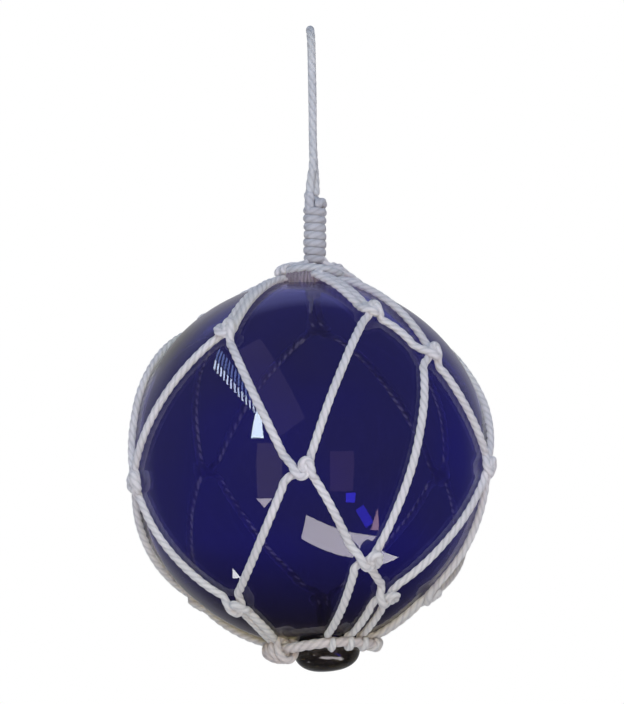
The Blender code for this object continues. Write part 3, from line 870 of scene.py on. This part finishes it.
# ---------------------------------------------------------------- the whipping and its feet
def make_whipping(material):
    """Rope wound flat round the legs, its top end tucked in at the right, and the legs inside it."""
    work = RopeWork(seed=51)
    thick, high = WHIPPING_SECTION
    steps = 24
    points = []
    for index in range(round((WHIPPING_TURNS - 0.05) * steps)):
        turned = index / steps - 0.45
        level = turned - 0.6 * sin(tau * turned) / tau
        swell = 1 + 0.03 * sin(turned * 1.7 + 1.0)
        across = Vector((sin(tau * turned), -cos(tau * turned) * 1.08, 0.0)) * (WHIPPING_REACH * swell)
        points.append(across + Vector((WHIPPING_X, 0.0, WHIPPING_FIRST - WHIPPING_PITCH * level)))
    path = smooth(points, STATION, samples=4)
    outward = path[:, :3] * (1.0, 1.0, 0.0) - (WHIPPING_X, 0.0, 0.0)
    work.lay(path, high * 1.02, thick / high, towards=outward, wobble=0.0001, relief=0.55)
    for size, route in TUCKED:
        points = [Vector(spot) * MM for spot in route]
        work.lay(smooth(points, STATION), size, towards=FRONT, start=0, wobble=0.0001, relief=0.7)
    work.piece("whipping_rope", material, "whipping")


def make_feet(material):
    """The hanger's two legs, from under the whipping out to the crown's ring."""
    work = RopeWork(seed=61)
    for foot in (LEFT_FOOT, RIGHT_FOOT):
        points = [CROWN_CENTRE + Vector(spot) * MM for spot in foot]
        work.lay(smooth(points, STATION), ROPE_RADIUS, towards=FRONT, start=0)
    work.piece("hanger_feet", material, "crown_ring", "netting")


# ---------------------------------------------------------------- the glass
def swelling(spot):
    """How far the blown ball swells towards its seal, in the direction of spot."""
    axis = COLLAR_TILT.to_matrix() @ Vector((0.0, 0.0, -1.0))
    angle = degrees(spot.normalized().angle(axis))
    return float(np.interp(angle, [0, 15, 22, 30, 42], [0.0032, 0.0032, 0.0024, 0.0012, 0.0]))


def glass_piece(name, vertices, faces, material):
    mesh = mesh_of(name, vertices, faces, material)
    mesh.validate()
    mesh.shade_smooth()
    return dressed(linked(name, mesh), "cobalt_glass", "glass_ball")


def glass_shell(name, material):
    """The ball's outer and inner faces, each a little uneven as blown glass is."""
    around, up = 144, 72
    vertices, faces = [], []
    for radius, uneven, seed, flip in (
        (BALL_RADIUS, 0.00012, Vector((3.0, 1.0, 7.0)), False),
        (BALL_RADIUS - WALL, 0.00035, Vector((9.0, 4.0, 2.0)), True),
    ):
        base = len(vertices)
        rows = []
        for row in range(up + 1):
            polar = pi * row / up
            if row in (0, up):
                rows.append([len(vertices)] * around)
                spots = [Vector((0.0, 0.0, cos(polar)))]
            else:
                rows.append([len(vertices) + column for column in range(around)])
                spots = [
                    Vector((sin(polar) * cos(tau * column / around), sin(polar) * sin(tau * column / around),
                            cos(polar)))
                    for column in range(around)
                ]
            for spot in spots:
                dent = uneven * (noise.noise(spot * 2.2 + seed) - 0.5)
                vertices.append(BALL_CENTRE + spot * (radius + dent + swelling(spot)))
        for high, low in zip(rows, rows[1:]):
            for column in range(around):
                after = (column + 1) % around
                corners = list(dict.fromkeys([high[column], low[column], low[after], high[after]]))
                faces.append(corners[::-1] if flip else corners)
    return glass_piece(name, vertices, faces, material)


def glass_seal(name, material):
    """The bead of glass pressed over the blow hole. Its top follows the ball, just clear of it."""
    around, rings = 72, 26
    turn = SEAL_TILT.to_matrix()
    middle = Vector((0.0, 0.0, -(BALL_RADIUS + SEAL_DEPTH)))
    vertices, faces, rows = [], [], []
    for row in range(rings + 1):
        polar = pi * row / rings
        row_indices = []
        for column in range(around):
            angle = tau * column / around
            lobe = 1 + 0.03 * sin(2 * angle + 0.6) + 0.02 * sin(5 * angle)
            local = middle + Vector((
                abs(sin(polar)) ** 0.8 * cos(angle) * SEAL_RADIUS * lobe,
                abs(sin(polar)) ** 0.8 * sin(angle) * SEAL_RADIUS * lobe,
                cos(polar) * SEAL_HALF_HEIGHT,
            ))
            clear = BALL_RADIUS + 0.0002 + swelling(turn @ local)
            if local.length < clear:
                local = local.normalized() * clear
            row_indices.append(len(vertices))
            vertices.append(BALL_CENTRE + turn @ local)
            if row in (0, rings):
                break
        rows.append(row_indices * (around if row in (0, rings) else 1))
    for high, low in zip(rows, rows[1:]):
        for column in range(around):
            after = (column + 1) % around
            faces.append(list(dict.fromkeys([high[column], low[column], low[after], high[after]])))
    return glass_piece(name, vertices, faces, material)


# ---------------------------------------------------------------- the studio
WINDOW_WAY = (-0.652, -0.302, 0.694)   # from the ball
WINDOW_DISTANCE = 2.5
WINDOW_ROLL = -0.33
WINDOW_COLUMNS = 14
COLUMN_SPACING = 0.185
MIDDLE_COLUMN = 6
PANE_WIDTH = 0.088
PANE_SHEAR = 1.6
FLOOR_HEIGHT = -0.62
# What else the ball mirrors from the room, as plain patches on its front. Each has a colour, a
# strength, its middle (longitude and latitude), its width and height and how far it is turned
# anticlockwise, all in degrees, and how much narrower its upper end is, where 1 makes a point.
MIRRORED = [
    ((0.80, 0.66, 0.95), 0.42, (-15, 24), (10, 34), 35, 0.0),     # dim violet, upper left
    ((0.75, 0.88, 1.00), 22.0, (-16, 11), (4, 8), 0, 0.5),        # bright, under the window
    ((1.00, 0.80, 0.76), 0.60, (-12, -3), (8, 17), 0, 0.0),       # dim brown, left
    ((1.00, 0.92, 0.95), 8.0, (-14, -13), (5, 3), 180, 1.0),      # pale, at the brown one's foot
    ((1.00, 0.94, 0.97), 8.0, (12, -24), (29, 8), -14, 0.0),      # the broad pale one below
    ((1.00, 0.96, 0.97), 8.5, (28, -31), (8, 12), -90, 1.0),      # its point, to the right
    ((0.80, 0.52, 0.90), 0.50, (10, -3), (7, 12), 0, 0.0),        # dim violet, right
    ((0.05, 0.04, 1.00), 9.0, (13, -11), (3, 3), 0, 0.0),         # blue spot
    ((0.05, 0.04, 1.00), 6.0, (18, -17), (3, 7), 35, 0.0),        # blue streak
    ((1.00, 0.62, 0.70), 5.0, (22, -18), (3, 7), 0, 1.0),         # pink, beside the streak
    ((1.00, 1.00, 1.00), 12.0, (-30, -37), (4, 4), 0, 1.0),       # white, lower left
]
CARD_DISTANCE = 2.4                    # from the ball to each patch


def make_world():
    """White where it is seen, grey through the glass, and a dim soft room for what lights and reflects.

    What lights the net's far side through the glass is evened out, so that it hardly shows there.
    """
    world = bpy.data.worlds.new("studio")
    bpy.context.scene.world = world
    world.use_nodes = True
    tree = world.node_tree
    background = tree.nodes["Background"]
    path = node(tree, "ShaderNodeLightPath")
    way = node(tree, "ShaderNodeTexCoord").outputs["Generated"]
    x, y, z = split(tree, way)[:3]
    behind = ranged(tree, y, 0.42, 0.92, 0.07, 0.46)
    height = ranged(tree, z, -0.7, 0.3, 0.25, 1.0)
    level = math(tree, "MULTIPLY", behind, height)
    level = math(tree, "MULTIPLY", level, ranged(tree, x, -0.7, 0.7, 1.1, 0.7))
    room = mixed(tree, level, (0.0, 0.0, 0.0), (1.0, 1.0, 1.05))
    above = ranged(tree, z, 0.45, 0.70, 0.0, 0.75)
    above = math(tree, "MULTIPLY", above, ranged(tree, y, 0.42, 0.58, 0.0, 1.0))
    room = mixed(tree, above, room, (0.45, 0.48, 1.10))
    rise = ranged(tree, z, -0.6, 0.6, 0.0, 1.0)
    soft = mixed(tree, rise, (0.20, 0.165, 0.14), (0.115, 0.14, 0.215))
    diffuse = mixed(tree, path.outputs["Is Diffuse Ray"], room, soft)
    inside = ranged(tree, path.outputs["Diffuse Depth"], 0.0, 1.0, 0.0, 1.0)
    beyond = mixed(tree, inside, (0.20, 0.20, 0.22), (9.6, 10.5, 2.4))
    through = mixed(tree, path.outputs["Is Transmission Ray"], diffuse, beyond)
    colour = mixed(tree, path.outputs["Is Camera Ray"], through, (1.0, 1.0, 1.0))
    tree.links.new(colour, background.inputs["Color"])
    background.inputs["Strength"].default_value = 1.0


def area_light(name, location, size, power, colour):
    data = bpy.data.lights.new(name, "AREA")
    data.shape = "SQUARE"
    data.size = size
    data.energy = power
    data.color = colour
    light = linked(name, data)
    light.location = location
    aim(light, BALL_CENTRE)
    light.visible_camera = False
    light.visible_glossy = False
    light.visible_transmission = False


def glow_material(name, colour, strength):
    made = bpy.data.materials.new(name)
    made.use_nodes = True
    tree = made.node_tree
    tree.nodes.clear()
    glow = node(tree, "ShaderNodeEmission")
    glow.inputs["Color"].default_value = (*colour, 1.0)
    glow.inputs["Strength"].default_value = strength
    out = node(tree, "ShaderNodeOutputMaterial")
    tree.links.new(glow.outputs[0], out.inputs["Surface"])
    return made


def only_mirrored(made):
    made.visible_camera = False
    made.visible_diffuse = False
    made.visible_transmission = False
    made.visible_shadow = False


def panel(name, panes, material):
    """A row of the window's panes, which only gloss sees.

    panes are (x, y, width, height), from their bottom left corner, each sheared to the left.
    """
    vertices, faces = [], []
    for x, y, width, height in panes:
        base = len(vertices)
        for dx, dy in ((0, 0), (1, 0), (1, 1), (0, 1)):
            vertices.append((x + dx * width - PANE_SHEAR * (y + dy * height), y + dy * height, 0.0))
        faces.append((base, base + 1, base + 2, base + 3))
    made = linked(name, mesh_of(name, vertices, faces, material))
    away = Vector(WINDOW_WAY).normalized()
    made.location = BALL_CENTRE + away * WINDOW_DISTANCE
    made.rotation_mode = "QUATERNION"
    made.rotation_quaternion = away.to_track_quat("Z", "Y") @ Euler((0.0, 0.0, WINDOW_ROLL)).to_quaternion()
    only_mirrored(made)


def card(name, middle, size, turn, taper, material):
    """A reflector that the ball's front mirrors towards the camera, as a plain patch."""
    eye = bpy.context.scene.camera.location
    half_width, half_height = size[0] / 2, size[1] / 2
    top = half_width * (1.0 - taper)
    corners = [(-half_width, -half_height), (half_width, -half_height), (top, half_height)]
    if taper < 1.0:
        corners.append((-top, half_height))
    vertices = []
    for x, y in corners:
        across = x * cos(radians(turn)) - y * sin(radians(turn))
        up = x * sin(radians(turn)) + y * cos(radians(turn))
        outward = direction(middle[0] + across, middle[1] + up)
        spot = BALL_CENTRE + outward * BALL_RADIUS
        way = (spot - eye).normalized().reflect(outward)
        vertices.append(spot + way * CARD_DISTANCE)
    only_mirrored(linked(name, mesh_of(name, vertices, [tuple(range(len(vertices)))], material)))


def make_studio():
    make_world()
    area_light("key_light", (-0.1, -2.4, 1.3), 1.3, 37.0, (0.68, 0.84, 1.0))
    area_light("low_light", (0.2, -2.4, -0.8), 1.3, 41.0, (1.0, 0.80, 0.62))
    area_light("fill_light", (2.0, -1.4, 0.2), 1.6, 1.2, (1.0, 0.96, 0.93))
    area_light("back_light", (-0.4, 2.2, 0.6), 1.6, 34.0, (1.0, 1.0, 1.0))
    for part, base, height, colour, strength in (
        ("low", -0.17, 0.14, (0.74, 0.85, 1.0), 13.0), ("high", -0.01, 0.19, (0.36, 0.50, 1.0), 4.5),
    ):
        panes = [
            ((column - MIDDLE_COLUMN) * COLUMN_SPACING, base, PANE_WIDTH, height)
            for column in range(WINDOW_COLUMNS)
        ]
        panel("window_" + part, panes, glow_material("window_glow_" + part, colour, strength))
    for index, (colour, strength, middle, size, turn, taper) in enumerate(MIRRORED):
        glow = glow_material(f"card_glow_{index}", colour, strength)
        card(f"card_{index}", middle, size, turn, taper, glow)
    make_floor()


def make_floor():
    """A pale round floor that fades into the white round it."""
    made, tree, shader = new_material("floor_pale")
    shader.inputs["Base Color"].default_value = (0.90, 0.90, 0.90, 1.0)
    shader.inputs["Roughness"].default_value = 0.95
    place = node(tree, "ShaderNodeTexCoord").outputs["Object"]
    distance = node(tree, "ShaderNodeVectorMath", operation="LENGTH")
    tree.links.new(place, distance.inputs[0])
    fade = ranged(tree, distance.outputs["Value"], 0.4, 3.0, 0.0, 1.0)
    glow = node(tree, "ShaderNodeEmission")
    glow.inputs["Strength"].default_value = 1.0
    blend = node(tree, "ShaderNodeMixShader")
    tree.links.new(fade, blend.inputs[0])
    tree.links.new(shader.outputs[0], blend.inputs[1])
    tree.links.new(glow.outputs[0], blend.inputs[2])
    tree.links.new(blend.outputs[0], tree.nodes["Material Output"].inputs["Surface"])
    count, reach = 96, 12.0
    ring = [(cos(tau * i / count) * reach, sin(tau * i / count) * reach, 0.0) for i in range(count)]
    ground = linked("floor", mesh_of("floor", ring, [tuple(range(count))], made))
    ground.location = (0.0, 0.0, FLOOR_HEIGHT)
    ground.visible_transmission = False
    ground.visible_glossy = False


# ---------------------------------------------------------------- everything
make_camera()
# Each cotton's third colour serves its stains and also the painted shade that darkens it towards the bottom;
# half its second colour is the painted shade in the grooves.
net_cotton = rope_material("net_cotton", (0.83, 0.785, 0.81), (0.70, 0.66, 0.68), (0.73, 0.70, 0.61))
ring_cotton = rope_material("ring_cotton", (0.81, 0.74, 0.72), (0.63, 0.56, 0.55), (0.67, 0.58, 0.51))
hanger_cotton = rope_material("hanger_cotton", (0.64, 0.64, 0.68), (0.54, 0.54, 0.58), (0.58, 0.57, 0.53))
whipping_cotton = rope_material(
    "whipping_cotton", (0.57, 0.56, 0.61), (0.46, 0.45, 0.50), (0.52, 0.50, 0.48))
shaded_cotton = rope_material("shaded_cotton", (0.34, 0.27, 0.36), (0.20, 0.15, 0.20), (0.30, 0.20, 0.17))
make_loop(hanger_cotton)
make_runs(net_cotton)
make_ends(net_cotton)
make_rings(hanger_cotton, ring_cotton, shaded_cotton)
make_gather(ring_cotton)
make_whipping(whipping_cotton)
make_feet(net_cotton)
glass_shell("glass_wall", glass_material())
glass_seal("glass_seal", seal_material())
make_studio()
bpy.context.scene.view_settings.view_transform = "Standard"
